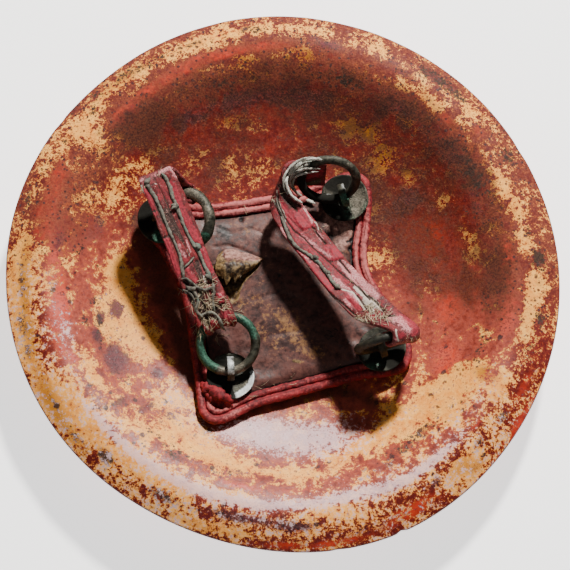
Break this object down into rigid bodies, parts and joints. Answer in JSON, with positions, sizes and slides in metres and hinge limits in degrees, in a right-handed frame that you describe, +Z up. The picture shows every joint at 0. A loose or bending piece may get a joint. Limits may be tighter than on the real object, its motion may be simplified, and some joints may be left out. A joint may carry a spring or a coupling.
{
  "type": "leather buckler",
  "caption": "Round domed leather buckler lying front down, with a stuffed knuckle pad, metal rings on eyed staples and laced leather grip straps; lacquer mottled and worn.",
  "frame": {"origin": "on the ground plane under the middle of the rim's bounding box", "axes": "+Z up from the domed front, which is the bottom, to the hand side; -Y towards the lower edge of the picture, +X towards its right"},
  "size_m": [0.3798, 0.3802, 0.0778],
  "materials": {
    "lacquered_leather": "old red and buff lacquer, worn and mottled",
    "pad_leather": "dry, scuffed purple-brown",
    "binding_red": "faded red, rubbed",
    "strap_red": "cracked crimson with pale fibres",
    "lace_grey": "frayed grey cord",
    "dark_bronze": "dark with green corrosion",
    "grey_iron": "worn grey",
    "boss_brass": "dull, dark in the recesses"
  },
  "bodies": {
    "root": {"shield_body": "lacquered_leather", "knuckle_pad": "pad_leather", "edge_roll_outer": "binding_red", "edge_roll_inner": "binding_red", "washer_lower_left": "dark_bronze", "front_boss_lower_left": "boss_brass", "staple_lower_left": "grey_iron", "ring_lower_left": "dark_bronze", "washer_upper_right": "dark_bronze", "front_boss_upper_right": "boss_brass", "staple_upper_right": "grey_iron", "ring_upper_right": "dark_bronze", "washer_lower_right": "dark_bronze", "front_boss_lower_right": "boss_brass", "staple_lower_right": "grey_iron", "ring_lower_right": "dark_bronze", "washer_upper_left": "dark_bronze", "front_boss_upper_left": "boss_brass", "staple_upper_left": "grey_iron", "ring_upper_left": "dark_bronze", "grip_strap_left": "strap_red", "grip_strap_right": "strap_red", "ring_lacing_upper_right": "lace_grey"}
  },
  "joints": []
}
